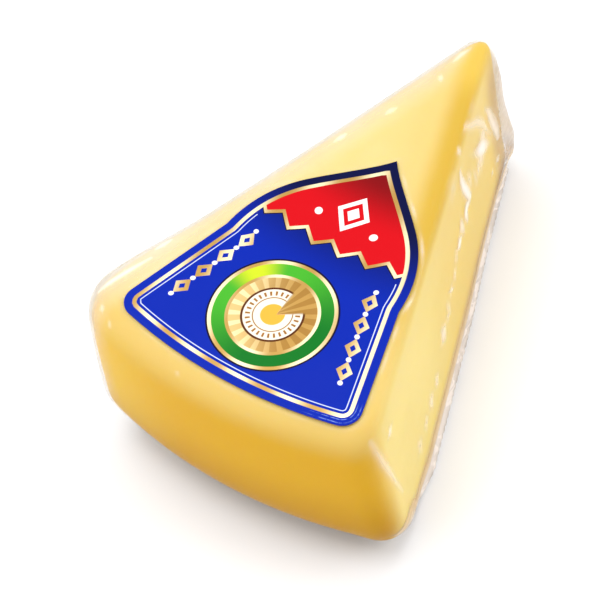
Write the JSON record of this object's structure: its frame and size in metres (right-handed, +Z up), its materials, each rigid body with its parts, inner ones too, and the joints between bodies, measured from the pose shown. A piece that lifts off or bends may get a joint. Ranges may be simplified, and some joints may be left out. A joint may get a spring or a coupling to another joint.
{
  "type": "film-wrapped cheese wedge",
  "caption": "Wedge of pale yellow cheese, sealed tight in clear film, with a rounded rim, two cut faces and a glossy printed label on its top face.",
  "frame": {"origin": "middle of the underside of the bounding box", "axes": "+Y along the wedge from its rim to its tip, +Z up out of the labelled top face, +X to the right when the tip points away"},
  "size_m": [0.0924, 0.1388, 0.0576],
  "materials": {
    "wrapped_cheese": "pale yellow cheese under tight, glossy clear film",
    "label": "glossy print in blue, gold, red and green, under varnish"
  },
  "bodies": {
    "root": {"wrapped_cheese": "wrapped_cheese", "label": "label"}
  },
  "joints": []
}
